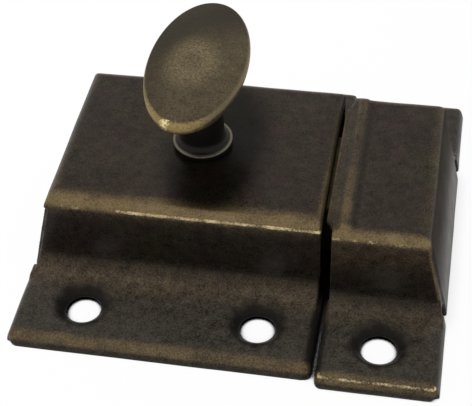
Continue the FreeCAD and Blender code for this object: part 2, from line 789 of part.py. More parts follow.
def make_bolt_spring():
    """Coil spring with closed ends, between the frame's tab and the bolt's tail."""
    start = frame_left() + FRAME_SHEET + SPRING_SEAT + SPRING_WIRE / 2
    end = TAIL_BACK - SPRING_SEAT - SPRING_WIRE / 2
    mean = (SPRING_DIAMETER - SPRING_WIRE) / 2
    steps = round(SPRING_TURNS * SPRING_POINTS_PER_TURN)
    shares = [open_share((step + 0.5) / SPRING_POINTS_PER_TURN) for step in range(steps)]
    closed_rise = (SPRING_WIRE + SPRING_SEAT) / SPRING_POINTS_PER_TURN
    open_rise = (end - start - closed_rise * steps) / sum(shares)
    x = start
    path_points = [point(x, mean, SPRING_Z)]
    for step, share in enumerate(shares, start=1):
        x += closed_rise + open_rise * share
        angle = 2 * math.pi * step / SPRING_POINTS_PER_TURN
        path_points.append(point(x, mean * math.cos(angle), SPRING_Z + mean * math.sin(angle)))
    curve = Part.BSplineCurve()
    curve.interpolate(path_points)
    tangent = curve.tangent(curve.FirstParameter)[0]
    ring = Part.Wire(Part.makeCircle(SPRING_WIRE / 2, path_points[0], tangent))
    return Part.Wire(curve.toShape()).makePipeShell([ring], True, True)


def main():
    os.makedirs("parts", exist_ok=True)
    pieces = {
        "case_cover": make_case_cover(),
        "keeper": make_keeper(),
        "knob": make_knob(),
        "spindle": make_spindle(),
        "drive_cam": make_drive_cam(),
        "spindle_washer": make_spindle_washer(),
        "bolt_frame": make_bolt_frame(),
        "latch_bolt": make_latch_bolt(),
        "bolt_spring": make_bolt_spring(),
    }
    for name, shape in pieces.items():
        solid = shape.Solids[0] if len(shape.Solids) == 1 else shape
        solid.translate(point(0, KEEPER_Y if name == "keeper" else CASE_Y, 0))
        solid.exportStep(f"parts/{name}.step")
        print(name, len(shape.Solids), shape.isValid(), round(shape.Volume, 1))


if __name__ == "__main__":
    main()
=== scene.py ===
import logging
import math
from dataclasses import dataclass, field
from enum import Enum
from functools import reduce
from typing import Optional, Sequence, Union

import bpy
from mathutils import Euler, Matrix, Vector


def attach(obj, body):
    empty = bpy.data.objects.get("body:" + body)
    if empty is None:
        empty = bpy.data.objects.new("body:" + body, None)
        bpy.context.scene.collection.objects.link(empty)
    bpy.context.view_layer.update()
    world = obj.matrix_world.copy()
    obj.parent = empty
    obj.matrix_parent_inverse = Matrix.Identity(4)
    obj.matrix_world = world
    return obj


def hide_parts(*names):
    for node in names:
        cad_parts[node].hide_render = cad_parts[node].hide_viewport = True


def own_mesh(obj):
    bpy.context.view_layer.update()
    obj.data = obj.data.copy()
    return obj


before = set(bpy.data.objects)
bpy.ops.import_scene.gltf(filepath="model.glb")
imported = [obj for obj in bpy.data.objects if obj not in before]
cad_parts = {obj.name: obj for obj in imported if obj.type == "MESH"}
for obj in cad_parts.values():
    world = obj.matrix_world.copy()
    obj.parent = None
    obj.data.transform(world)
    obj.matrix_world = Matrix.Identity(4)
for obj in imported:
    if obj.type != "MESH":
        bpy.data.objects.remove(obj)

LOG = logging.getLogger("cupboard_latch")

Socket = bpy.types.NodeSocket
Value = Union[Socket, float]
Colour = tuple[float, float, float]
Triple = tuple[float, float, float]
Ramp = tuple[float, float]
Spot = tuple[float, float]
Feeds = dict[Union[str, int], Union[Value, Colour]]

MM = 0.001
PHOTO_WIDTH = 472
SENSOR_WIDTH = 36.0
CASE_BODY = "case"
WHITE = (1.0, 1.0, 1.0)
SEEN_RAYS = ("Is Camera Ray", "Is Glossy Ray", "Is Transmission Ray")
BUMP_STRENGTH = 0.5
EDGE_SAMPLES = 6
SHADOW_SAMPLES = 24


class Slot(Enum):
    """Finish names of the pieces."""

    PAN = "pan_finish"
    KNOB = "knob_finish"
    STEEL = "steel"
    BOLT = "bolt_metal"
    WIRE = "spring_wire"


def ramp_from(edge: float, ramp: Ramp, way: float = 1.0) -> Ramp:
    """Measure a ramp from an edge; way is 1 towards higher values and -1 towards lower ones."""
    return edge + way * ramp[0], edge + way * ramp[1]


class NodeGraph:
    """Node tree, with short calls for the nodes that the finishes, the floor and the surround share."""

    def __init__(self, tree: bpy.types.NodeTree) -> None:
        """Take over a node tree."""
        self.tree = tree

    def add(self, kind: str, feeds: Feeds, **settings: object) -> bpy.types.Node:
        """Add a node and feed its inputs.

        Args:
            kind: Type of the node, without the start that all shader nodes share.
            feeds: What feeds each input: a socket, a number, a colour or a vector.
            **settings: The node's settings.

        Returns:
            The node.
        """
        node = self.tree.nodes.new("ShaderNode" + kind)
        for name, value in settings.items():
            setattr(node, name, value)
        for key, value in feeds.items():
            self.feed(node.inputs[key], value)
        return node

    def feed(self, socket: Socket, value: Union[Value, Colour]) -> None:
        """Link a socket to another, or set it to a plain value.

        Args:
            socket: What is fed.
            value: Socket, number, colour or vector that feeds it.
        """
        if isinstance(value, bpy.types.NodeSocket):
            self.tree.links.new(value, socket)
        elif socket.type == "RGBA":
            socket.default_value = (*value, 1.0)
        else:
            socket.default_value = value

    def math(self, operation: str, first: Value, second: Value = 0.0, third: Value = 0.0) -> Socket:
        """Work out one arithmetic step, by the math node's name for it."""
        return self.add("Math", {0: first, 1: second, 2: third}, operation=operation).outputs[0]

    def varied(self, base: Value, pattern: Value, amount: float) -> Socket:
        """Add an amount of a pattern to a base value."""
        return self.math("MULTIPLY_ADD", pattern, amount, base)

    def distance(self, across: Socket, along: Socket, weight: float = 1.0) -> Socket:
        """Measure the distance from a middle, with a weight on the square of the second direction."""
        squares = self.math("ADD", self.product(across, across), self.product(along, along, weight))
        return self.math("SQRT", squares)

    def ease(self, value: Value, start: float, end: float) -> Socket:
        """Rise smoothly from 0 at start to 1 at end.

        Args:
            value: What is measured.
            start: Value at which the result leaves 0; it may lie above end.
            end: Value at which the result reaches 1.

        Returns:
            The eased share.
        """
        low, high = (1.0, 0.0) if start > end else (0.0, 1.0)
        feeds = {"Value": value, "From Min": min(start, end), "From Max": max(start, end)}
        feeds.update({"To Min": low, "To Max": high})
        return self.add("MapRange", feeds, interpolation_type="SMOOTHSTEP").outputs["Result"]

    def product(self, *shares: Value) -> Value:
        """Multiply several shares."""
        return reduce(lambda first, second: self.math("MULTIPLY", first, second), shares)

    def largest(self, *shares: Value) -> Value:
        """Take the largest of several shares."""
        return reduce(lambda first, second: self.math("MAXIMUM", first, second), shares)

    def mix(self, share: Value, first: Union[Socket, Colour], second: Union[Socket, Colour]) -> Socket:
        """Blend two colours.

        Args:
            share: 0 gives the first colour, 1 the second.
            first: Colour or colour socket.
            second: Colour or colour socket.

        Returns:
            The blended colour.
        """
        node = self.add("Mix", {"Factor": share}, data_type="RGBA")
        colours = [socket for socket in node.inputs if socket.type == "RGBA"]
        self.feed(colours[0], first)
        self.feed(colours[1], second)
        return next(socket for socket in node.outputs if socket.type == "RGBA")


@dataclass(frozen=True)
class Clouds:
    """Cloudy pattern; spread is how far specks of it depart from 0. Size and shift are in millimetres."""

    size: float
    detail: float = 2.0
    roughness: float = 0.5
    spread: float = 1.0
    stretch: Triple = (1.0, 1.0, 1.0)
    shift: Triple = (0.0, 0.0, 0.0)


class FinishGraph(NodeGraph):
    """Node tree of one finish, which knows where each point of the surface lies and faces. Millimetres."""

    def __init__(self, name: str, middle: float = 0.0) -> None:
        """Start an empty finish.

        Args:
            name: Name of the material.
            middle: Where the piece's middle lies along Y, in millimetres.
        """
        self.material = bpy.data.materials.new(name)
        self.material.use_nodes = True
        super().__init__(self.material.node_tree)
        self.shader = self.tree.nodes["Principled BSDF"]
        coordinates = self.add("TexCoord", {})
        self.place = self.scaled(coordinates.outputs["Object"], 1.0 / MM)
        self.x, y, self.z = self._split(self.place)
        self.y = self.math("SUBTRACT", y, middle)
        self.face_x, _, self.face_z = self._split(coordinates.outputs["Normal"])

    def _split(self, vector: Socket) -> tuple[Socket, Socket, Socket]:
        """Take a vector apart into its three components."""
        return tuple(self.add("SeparateXYZ", {0: vector}).outputs)

    def noise(self, clouds: Clouds) -> Socket:
        """Lay a cloudy pattern, between 0 and 1.

        Args:
            clouds: The pattern.

        Returns:
            The variation.
        """
        feeds = {"Vector": self.place, "Scale": clouds.stretch, "Location": clouds.shift}
        mapping = self.add("Mapping", feeds)
        feeds = {"Vector": mapping.outputs["Vector"], "Scale": 1.0 / clouds.size}
        feeds.update({"Detail": clouds.detail, "Roughness": clouds.roughness})
        return self.add("TexNoise", feeds).outputs["Fac"]

    def specks(self, clouds: Clouds) -> Socket:
        """Lay a cloudy pattern that varies evenly about 0."""
        return self.varied(-0.5 * clouds.spread, self.noise(clouds), clouds.spread)

    def scaled(self, colour: Socket, factor: Value) -> Socket:
        """Multiply a colour or a vector by a factor."""
        return self.add("VectorMath", {0: colour, "Scale": factor}, operation="SCALE").outputs["Vector"]

    def softened(self, radius: float) -> Socket:
        """Return the surface normal with the edges rounded to a radius."""
        return self.add("Bevel", {"Radius": radius * MM}, samples=EDGE_SAMPLES).outputs["Normal"]

    def bump(self, height: Socket, depth: float, below: Optional[Socket] = None) -> Socket:
        """Turn a pattern into a surface normal.

        Args:
            height: The pattern.
            depth: Height of the pattern, in millimetres.
            below: Normal from a coarser pattern.

        Returns:
            The bent normal.
        """
        feeds = {"Distance": depth * MM, "Strength": BUMP_STRENGTH, "Height": height}
        if below is not None:
            feeds["Normal"] = below
        return self.add("Bump", feeds).outputs["Normal"]

    def set_gloss(self, level: float, tint: Colour) -> None:
        """Set the strength and the tint of the gloss."""
        self.feed(self.shader.inputs["Specular IOR Level"], level)
        self.feed(self.shader.inputs["Specular Tint"], tint)

    def finish(
        self, colour: Socket, roughness: Socket, normal: Socket, metallic: Value = 1.0
    ) -> bpy.types.Material:
        """Join the worked-out surface to the shader.

        Args:
            colour: Base colour.
            roughness: Roughness.
            normal: Surface normal.
            metallic: How far the surface is bare metal.

        Returns:
            The finished material.
        """
        feeds = {"Base Color": colour, "Roughness": roughness, "Normal": normal, "Metallic": metallic}
        for name, value in feeds.items():
            self.feed(self.shader.inputs[name], value)
        return self.material


@dataclass(frozen=True)
class Band:
    """Strip of the faces that don't look down, bounded by eased ramps along X, Y and Z. Millimetres."""

    x: Sequence[Ramp] = ()
    y: Sequence[Ramp] = ()
    z: Sequence[Ramp] = ()
    lean: float = 0.0
    strength: float = 1.0
    facing: Ramp = (-0.3, 0.0)

    def share(self, graph: FinishGraph) -> Value:
        """Work out how far each point of the surface lies in the strip.

        Args:
            graph: Finish that the strip belongs to.

        Returns:
            Share between 0 and the strip's strength.
        """
        across = graph.varied(graph.x, graph.z, self.lean)
        shares: list[Value] = [graph.ease(graph.face_z, *self.facing)]
        for place, ramps in ((across, self.x), (graph.y, self.y), (graph.z, self.z)):
            shares.extend(graph.ease(place, *ramp) for ramp in ramps)
        return graph.product(*shares, self.strength)


def covered(graph: FinishGraph, bands: Sequence[Band]) -> Value:
    """Work out how far each point of the surface lies in any of several strips."""
    return graph.largest(*[band.share(graph) for band in bands])


@dataclass(frozen=True)
class Breakup:
    """How patterns break up a share: what each adds, where the sum rises, and the least share it needs."""

    rise: Ramp
    amounts: Sequence[float]
    reach: Optional[Ramp] = None

    def share(self, graph: NodeGraph, whole: Value, *patterns: Socket) -> Value:
        """Break up a share.

        Args:
            graph: Finish that asks.
            whole: The unbroken share.
            *patterns: Patterns about 0, one for each amount.

        Returns:
            The broken share.
        """
        broken = whole
        for pattern, amount in zip(patterns, self.amounts):
            broken = graph.varied(broken, pattern, amount)
        broken = graph.ease(broken, *self.rise)
        if self.reach is None:
            return broken
        return graph.product(broken, graph.ease(whole, *self.reach))


@dataclass(frozen=True)
class DarkenedBrass:
    """Stamped brass sheet, chemically darkened, with the bends rubbed back to brass; light, highlights and
    shade are painted on too. Millimetres.
    """

    name: str
    middle: float
    rubbed: Sequence[Band]
    # Strips of rubbed brass, of painted highlight lines, of painted light and of painted shade.
    glint_lines: Sequence[Band]
    painted_light: Sequence[Band]
    painted_shade: Sequence[Band]
    holes: Sequence[float]
    hole_line: float = 19.1
    dimple_rim: float = 3.35
    # Reach, raggedness and height of the painted shade in the screw dimples.
    dimple_shade_edge: Ramp = (1.0, -0.9)
    dimple_shade_rag: float = 0.45
    dimple_shade_level: Ramp = (2.6, 2.2)
    foot_level: Ramp = (6.0, 2.2)
    edge_round: float = 0.3

    dark: Colour = (0.0240, 0.0180, 0.0138)
    olive: Colour = (0.0270, 0.0222, 0.0142)
    plum: Colour = (0.0285, 0.0190, 0.0160)
    slate: Colour = (0.0300, 0.0270, 0.0215)
    # Colour of the painted light bands on the front wall.
    umber: Colour = (0.0680, 0.0480, 0.0285)
    # Near-black of the painted shade in the dimples, beside the gap and at the bead's foot.
    shade_black: Colour = (0.0050, 0.0046, 0.0044)
    gold_deep: Colour = (0.115, 0.083, 0.044)
    gold_light: Colour = (0.215, 0.157, 0.080)
    # Colour of the painted highlight lines along the bends.
    bright: Colour = (0.62, 0.49, 0.27)
    lustre: Colour = (1.0, 0.91, 0.80)

    grain: Clouds = Clouds(0.2, detail=1.0, spread=3.0)
    clumps: Clouds = Clouds(1.1, spread=2.6, shift=(3.0, 17.0, 9.0))
    breaks: Clouds = Clouds(1.5, spread=3.4, shift=(19.0, 2.0, 5.0))
    patches: Clouds = Clouds(3.2, detail=3.0, spread=1.5, shift=(7.0, 29.0, 4.0))
    olive_clouds: Clouds = Clouds(7.0, detail=3.0, roughness=0.55)
    plum_clouds: Clouds = Clouds(4.0, detail=3.0, roughness=0.6, shift=(31.0, 7.0, 3.0))
    waves: Clouds = Clouds(2.6, shift=(0.0, 0.0, 21.0))

    olive_range: Ramp = (0.38, 0.64)
    plum_range: Ramp = (0.47, 0.7)
    slate_share: float = 0.75
    warm_share: float = 0.8
    warm_mottle: float = 0.22
    grain_mottle: float = 0.8
    clump_mottle: float = 0.5
    foot_lift: float = 0.2
    shade_black_share: float = 0.9
    # Breaks up the painted shade strips.
    shade_breakup: Breakup = Breakup((0.15, 0.8), (0.4,))
    wear: Breakup = Breakup((0.0, 1.3), (0.2, 0.42), reach=(0.0, 0.45))
    gilding: Breakup = Breakup((0.1, 1.5), (0.5, 0.9))
    # Breaks up the painted highlight lines along the bends.
    glinting: Breakup = Breakup((0.62, 1.25), (0.24, 0.4), reach=(0.0, 0.3))

    roughness: float = 0.25
    clump_rough: float = 0.03
    worn_rough: float = 0.1
    black_rough: float = 0.26
    flap_facing: Ramp = (0.7, 0.95)
    flap_rise: Ramp = (2.0, 11.0)
    flap_patches: float = 0.3
    flap_rough: float = 0.12
    flap_top_rough: float = 0.5
    wave_depth: float = 0.03
    grain_depth: float = 0.006
    gloss: float = 0.11

    def _dimple_shade(self, graph: FinishGraph, clumps: Socket) -> Value:
        """Work out the painted shade in the pressed screw dimples, with a ragged edge round each.

        Args:
            graph: Finish that asks.
            clumps: Variation that roughens the painted shade's edge.

        Returns:
            Share of the painted shade.
        """
        along = graph.math("SUBTRACT", graph.math("ABSOLUTE", graph.y), self.hole_line)
        edge = ramp_from(self.dimple_rim, self.dimple_shade_edge)
        shares = []
        for hole in self.holes:
            across = graph.math("SUBTRACT", graph.x, hole)
            ragged = graph.varied(graph.distance(across, along), clumps, self.dimple_shade_rag)
            shares.append(graph.ease(ragged, *edge))
        return graph.product(graph.largest(*shares), graph.ease(graph.z, *self.dimple_shade_level))

    def _patina_and_light(self, graph: FinishGraph, grain: Socket, clumps: Socket) -> Socket:
        """Mix the dark, mottled ground colour, lighter and slate-tinted low down, with painted light in
        warmer bands.

        Args:
            graph: Finish that asks.
            grain: Fine specks.
            clumps: Coarser variation.

        Returns:
            The colour.
        """
        olive = graph.ease(graph.noise(self.olive_clouds), *self.olive_range)
        plum = graph.ease(graph.noise(self.plum_clouds), *self.plum_range)
        low = graph.ease(graph.z, *self.foot_level)
        # Painted light: warmer, lighter umber bands high on the front wall and along its foot.
        warm = graph.varied(self.warm_share, clumps, self.warm_mottle)
        warm = graph.product(covered(graph, self.painted_light), warm)
        ground = graph.mix(olive, self.dark, self.olive)
        ground = graph.mix(plum, ground, self.plum)
        ground = graph.mix(graph.product(low, self.slate_share), ground, self.slate)
        ground = graph.mix(warm, ground, self.umber)
        mottle = graph.varied(graph.varied(1.0, grain, self.grain_mottle), clumps, self.clump_mottle)
        return graph.scaled(ground, graph.product(mottle, graph.varied(1.0, low, self.foot_lift)))

    def _roughness(
        self, graph: FinishGraph, clumps: Socket, patches: Socket, worn: Value, black: Value
    ) -> Socket:
        """Work out how dull the surface is; the sloping flap is the dullest.

        Args:
            graph: Finish that asks.
            clumps: Coarser variation.
            patches: The coarsest variation.
            worn: Share of rubbed brass.
            black: Share of the painted shade.

        Returns:
            The roughness.
        """
        flap = graph.ease(graph.math("ABSOLUTE", graph.face_x), *self.flap_facing)
        upper = graph.varied(graph.ease(graph.z, *self.flap_rise), patches, self.flap_patches)
        rough = graph.varied(self.roughness, clumps, self.clump_rough)
        rough = graph.varied(rough, worn, self.worn_rough)
        rough = graph.varied(rough, black, self.black_rough)
        flap_rough = graph.varied(self.flap_rough, upper, self.flap_top_rough)
        return graph.math("ADD", rough, graph.product(flap, flap_rough))

    def make(self) -> bpy.types.Material:
        """Build the finish.

        Returns:
            The material.
        """
        graph = FinishGraph(self.name, self.middle)
        grain = graph.specks(self.grain)
        clumps = graph.specks(self.clumps)
        patches = graph.specks(self.patches)

        # Painted shade: the dimples and the strips beside the gap and the bead go near-black.
        strip_shade = self.shade_breakup.share(graph, covered(graph, self.painted_shade), clumps)
        black = graph.largest(self._dimple_shade(graph, clumps), strip_shade)
        patina_and_light = self._patina_and_light(graph, grain, clumps)
        ground = graph.mix(graph.product(black, self.shade_black_share), patina_and_light, self.shade_black)

        rub = covered(graph, self.rubbed)
        worn = self.wear.share(graph, rub, grain, patches)
        gold = graph.mix(self.gilding.share(graph, rub, grain, patches), self.gold_deep, self.gold_light)
        # Painted highlight: thin bright lines along the bends, partly polished brass and partly a painted
        # glint.
        glint_strip = covered(graph, self.glint_lines)
        line = self.glinting.share(graph, glint_strip, grain, graph.specks(self.breaks))
        colour = graph.mix(line, graph.mix(worn, ground, gold), self.bright)

        rough = self._roughness(graph, clumps, patches, worn, black)
        waves = graph.bump(graph.noise(self.waves), self.wave_depth, graph.softened(self.edge_round))
        normal = graph.bump(grain, self.grain_depth, waves)
        graph.set_gloss(self.gloss, self.lustre)
        return graph.finish(colour, rough, normal, graph.largest(worn, line))


@dataclass(frozen=True)
class OvalPlace:
    """Where a point lies on the knob's oval: across and along it, -1 to 1, and outwards, 1 at its edge."""

    across: Socket
    along: Socket
    outward: Socket


@dataclass(frozen=True)
class RubbedKnobBrass:
    """Cast brass of the knob: brown and speckled on the face, golden at the rim, black down the stem, with
    painted highlights and painted shade.
    """

    name: str
    axis_x: float
    axis_y: float
    rim_height: float
    half_length: float
    half_breadth: float
    foot_radius: float
    foot_top: float
    edge_round: float = 0.3

    brown: Colour = (0.070, 0.054, 0.034)
    olive: Colour = (0.092, 0.075, 0.042)
    plum: Colour = (0.074, 0.054, 0.043)
    grey: Colour = (0.0115, 0.0112, 0.0098)
    straw: Colour = (0.165, 0.130, 0.074)
    gold: Colour = (0.32, 0.230, 0.092)
    glint: Colour = (0.95, 0.82, 0.42)
    black: Colour = (0.010, 0.0095, 0.009)
    # Colour of the painted highlight, a light line round the foot's rim.
    foot_highlight: Colour = (0.17, 0.150, 0.112)
    lustre: Colour = (1.0, 0.90, 0.76)

    grain: Clouds = Clouds(0.24, spread=3.0, shift=(5.0, 1.0, 0.0))
    clumps: Clouds = Clouds(1.4, spread=2.4, shift=(9.0, 4.0, 2.0))
    cast: Clouds = Clouds(2.2, detail=3.0, roughness=0.6, shift=(9.0, 4.0, 2.0))

    olive_range: Ramp = (-0.5, 0.5)
    far_turn: float = -0.35
    far_range: Ramp = (-0.25, 0.75)
    far_share: float = 0.92
    near_range: Ramp = (-0.2, -0.6)
    plum_range: Ramp = (-0.1, 0.5)
    plum_share: float = 0.7
    # Place, spread and strength of the painted highlight, a sheen ring on the face.
    sheen_place: Spot = (-0.06, -0.12)
    sheen_weight: float = 2.2
    sheen_range: Ramp = (0.72, 0.26)
    sheen_share: float = 0.7
    sheen_grain: float = 0.45
    hollow_range: Ramp = (0.32, 0.06)
    hollow_depth: float = 0.55
    side_range: Ramp = (-0.1, -0.95)
    side_dark: float = 0.42
    end_range: Ramp = (0.3, 0.95)
    end_dark: float = 0.3
    face_grain: float = 0.6

    line_edge: Ramp = (0.945, 0.99)
    line_rise: Ramp = (0.9, 1.2)
    line_share: float = 0.55
    line_grain: float = 0.4
    flank_edge: Ramp = (0.93, 0.985)
    flank_across: Ramp = (0.1, 0.55)
    flank_along: Ramp = (0.5, -0.2)
    flank_share: float = 0.6
    flank_grain: float = 0.3
    front_edge: Ramp = (0.90, 0.975)
    front_turn: float = -0.25
    front_range: Ramp = (0.35, 1.05)
    front_rise: Ramp = (0.05, 0.6)
    front_wear: Breakup = Breakup((0.3, 1.2), (0.4,))
    front_share: float = 0.85
    spot_place: Spot = (-0.27, -0.945)
    spot_weight: float = 9.0
    spot_range: Ramp = (0.28, 0.0)
    # Breaks up the painted glint highlight.
    glint_breakup: Breakup = Breakup((0.55, 1.3), (0.5,))

    stem_top: Ramp = (0.3, -0.25)
    ring_reach: Ramp = (-0.42, -0.2)
    ring_rise: Ramp = (-0.3, -0.12)
    ring_fall: Ramp = (0.5, 0.3)
    ring_share: float = 0.85
    ring_grain: float = 0.3
    roughness: float = 0.4
    grain_rough: float = 0.12
    bare_face: float = 0.75
    stem_loss: float = 0.65
    cast_depth: float = 0.05
    grain_depth: float = 0.012
    gloss: float = 0.2

    def _from_spot(self, graph: FinishGraph, oval: OvalPlace, spot: Spot, weight: float) -> Socket:
        """Measure the distance from a spot on the oval.

        Args:
            graph: Finish that asks.
            oval: Place on the oval.
            spot: Where the spot lies across and along it.
            weight: Weight of the distance along it.

        Returns:
            The distance.
        """
        across = graph.math("SUBTRACT", oval.across, spot[0])
        along = graph.math("SUBTRACT", oval.along, spot[1])
        return graph.distance(across, along, weight)

    def _face(self, graph: FinishGraph, oval: OvalPlace, grain: Socket) -> Socket:
        """Mix the speckled face, with a painted highlight (a sheen ring) near its middle and painted shade
        towards its far end and left side.

        Args:
            graph: Finish that asks.
            oval: Place on the oval.
            grain: Fine specks.

        Returns:
            The colour.
        """
        clumps = graph.specks(self.clumps)
        # Painted shade: the face turns grey and dark towards its far end.
        far = graph.ease(graph.varied(oval.along, oval.across, self.far_turn), *self.far_range)
        near = graph.ease(oval.along, *self.near_range)
        near = graph.product(near, graph.ease(clumps, *self.plum_range), self.plum_share)
        face = graph.mix(graph.ease(clumps, *self.olive_range), self.brown, self.olive)
        face = graph.mix(graph.product(far, self.far_share), face, self.grey)
        face = graph.mix(near, face, self.plum)

        # Painted highlight: a soft straw sheen ring round a darker hollow, near the face's middle.
        lit = self._from_spot(graph, oval, self.sheen_place, self.sheen_weight)
        hollow = graph.varied(1.0, graph.ease(lit, *self.hollow_range), -self.hollow_depth)
        specks = graph.varied(self.sheen_share, grain, self.sheen_grain)
        sheen = graph.product(graph.ease(lit, *self.sheen_range), hollow, specks)
        face = graph.mix(sheen, face, self.straw)

        # Painted shade: darker on the left side and at the far end.
        side = graph.varied(1.0, graph.ease(oval.across, *self.side_range), -self.side_dark)
        end = graph.varied(1.0, graph.ease(oval.along, *self.end_range), -self.end_dark)
        return graph.scaled(face, graph.product(side, end, graph.varied(1.0, grain, self.face_grain)))

    def _rim(self, graph: FinishGraph, oval: OvalPlace, grain: Socket, face: Socket) -> Socket:
        """Colour the face's edge: a straw line all round and straw on one flank, rubbed brass that is also a
        painted edge highlight; rubbed gold at the front, and there a glint, a painted highlight.

        Args:
            graph: Finish that asks.
            oval: Place on the oval.
            grain: Fine specks.
            face: Colour of the face.

        Returns:
            The colour with its rim.
        """
        # Rubbed edge that is also a painted edge highlight: a straw line all round and on one flank.
        line = graph.product(
            graph.ease(oval.outward, *self.line_edge),
            graph.ease(graph.z, *ramp_from(self.rim_height, self.line_rise)),
            graph.varied(self.line_share, grain, self.line_grain),
        )
        flank = graph.product(
            graph.ease(oval.outward, *self.flank_edge),
            graph.ease(oval.across, *self.flank_across),
            graph.ease(oval.along, *self.flank_along),
            graph.varied(self.flank_share, grain, self.flank_grain),
        )
        forward = graph.varied(graph.math("MULTIPLY", oval.along, -1.0), oval.across, self.front_turn)
        front = graph.product(
            graph.ease(oval.outward, *self.front_edge),
            graph.ease(forward, *self.front_range),
            graph.ease(graph.z, *ramp_from(self.rim_height, self.front_rise)),
        )
        front = graph.product(self.front_wear.share(graph, front, grain), self.front_share)
        # Painted highlight: a glint at the front of the rim.
        spot = self._from_spot(graph, oval, self.spot_place, self.spot_weight)
        spot = self.glint_breakup.share(graph, graph.ease(spot, *self.spot_range), grain)
        rubs = ((line, self.straw), (flank, self.straw), (front, self.gold), (spot, self.glint))
        for share, colour in rubs:
            face = graph.mix(share, face, colour)
        return face

    def make(self) -> bpy.types.Material:
        """Build the finish.

        Returns:
            The material.
        """
        graph = FinishGraph(self.name, self.axis_y)
        x = graph.math("SUBTRACT", graph.x, self.axis_x)
        across = graph.math("DIVIDE", x, self.half_breadth)
        along = graph.math("DIVIDE", graph.y, self.half_length)
        oval = OvalPlace(across, along, graph.distance(across, along))
        grain = graph.specks(self.grain)
        face = self._rim(graph, oval, grain, self._face(graph, oval, grain))

        stem = graph.ease(graph.z, *ramp_from(self.rim_height, self.stem_top))
        # Painted highlight: a light line round the upper edge of the foot's rim.
        ring = graph.product(
            graph.ease(graph.distance(x, graph.y), *ramp_from(self.foot_radius, self.ring_reach)),
            graph.ease(graph.z, *ramp_from(self.foot_top, self.ring_rise)),
            graph.ease(graph.z, *ramp_from(self.foot_top, self.ring_fall)),
        )
        foot_highlight = graph.product(ring, graph.varied(self.ring_share, grain, self.ring_grain))
        colour = graph.mix(foot_highlight, graph.mix(stem, face, self.black), self.foot_highlight)

        rough = graph.varied(self.roughness, grain, self.grain_rough)
        metal = graph.largest(graph.varied(self.bare_face, stem, -self.stem_loss), ring)
        cast = graph.bump(graph.noise(self.cast), self.cast_depth, graph.softened(self.edge_round))
        graph.set_gloss(self.gloss, self.lustre)
        return graph.finish(colour, rough, graph.bump(grain, self.grain_depth, cast), metal)


@dataclass(frozen=True)
class WorkedMetal:
    """Plain metal of the hidden works, with fine lines along the way it was rolled or drawn. Millimetres."""

    name: str
    base: Colour
    stain: Colour
    lines: Triple = (1.0, 0.08, 1.0)
    line_width: float = 0.12
    line_depth: float = 0.004
    line_rough: float = 0.2
    roughness: float = 0.36
    stains: Clouds = Clouds(3.0, detail=3.0, roughness=0.6)
    stain_range: Ramp = (0.4, 0.75)

    def make(self) -> bpy.types.Material:
        """Build the finish.

        Returns:
            The material.
        """
        graph = FinishGraph(self.name)
        rolled = graph.noise(Clouds(self.line_width, stretch=self.lines))
        stained = graph.ease(graph.noise(self.stains), *self.stain_range)
        colour = graph.mix(stained, self.base, self.stain)
        rough = graph.varied(self.roughness - self.line_rough / 2, rolled, self.line_rough)
        return graph.finish(colour, rough, graph.bump(rolled, self.line_depth))


def dress(node: str, material: bpy.types.Material) -> bpy.types.Object:
    """Give a solid of the frame its finish.

    Args:
        node: Name of the solid.
        material: Its finish.

    Returns:
        The dressed object.
    """
    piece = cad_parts[node]
    piece.data.materials.clear()
    piece.data.materials.append(material)
    return piece


@dataclass
class SoftPressing:
    """Softens a pan's sharp solid into pressed sheet: rounded edges, slightly wavy faces. Millimetres."""

    mesh_size: float = 0.15
    merge_gap: float = 0.002
    smoothing: float = 0.5
    rounding_passes: int = 14
    wave_height: float = 0.12
    wave_length: float = 8.0
    wave_octaves: int = 1
    level_kept: float = 0.8
    triangles: int = 110000

    def _apply(self, piece: bpy.types.Object, kind: str, **settings: object) -> None:
        """Add one modifier and apply it.

        Args:
            piece: What it shapes.
            kind: Type of the modifier.
            **settings: Its settings.
        """
        modifier = piece.modifiers.new(kind.lower(), kind)
        for name, value in settings.items():
            setattr(modifier, name, value)
        bpy.ops.object.modifier_apply(modifier=modifier.name)

    def _wave(self, piece: bpy.types.Object) -> None:
        """Dent the faces a little, mostly inwards so that the pan stays inside its solid's box.

        Args:
            piece: What is dented.
        """
        waves = bpy.data.textures.new(piece.name + "_waves", "CLOUDS")
        waves.noise_scale = self.wave_length * MM
        waves.noise_depth = self.wave_octaves
        self._apply(
            piece,
            "DISPLACE",
            texture=waves,
            texture_coords="LOCAL",
            strength=self.wave_height * MM,
            mid_level=self.level_kept,
        )

    def press(self, node: str, name: str) -> bpy.types.Object:
        """Make the softened pan, which takes the place of its solid.

        Args:
            node: Name of the solid.
            name: Name of the new piece.

        Returns:
            The new piece.
        """
        bpy.ops.object.select_all(action="DESELECT")
        piece = bpy.data.objects.new(name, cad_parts[node].data.copy())
        piece.data.name = name
        bpy.context.scene.collection.objects.link(piece)
        piece.select_set(True)
        bpy.context.view_layer.objects.active = piece
        bpy.ops.object.mode_set(mode="EDIT")
        bpy.ops.mesh.select_all(action="SELECT")
        bpy.ops.mesh.remove_doubles(threshold=self.merge_gap * MM)
        bpy.ops.object.mode_set(mode="OBJECT")
        self._apply(piece, "REMESH", mode="VOXEL", voxel_size=self.mesh_size * MM)
        self._wave(piece)
        self._apply(piece, "SMOOTH", factor=self.smoothing, iterations=self.rounding_passes)
        quads = len(piece.data.polygons)
        self._apply(piece, "DECIMATE", ratio=min(1.0, self.triangles / (2.0 * quads)))
        bpy.ops.object.shade_smooth()
        piece.data.materials.clear()
        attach(piece, CASE_BODY)
        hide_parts(node)
        return piece


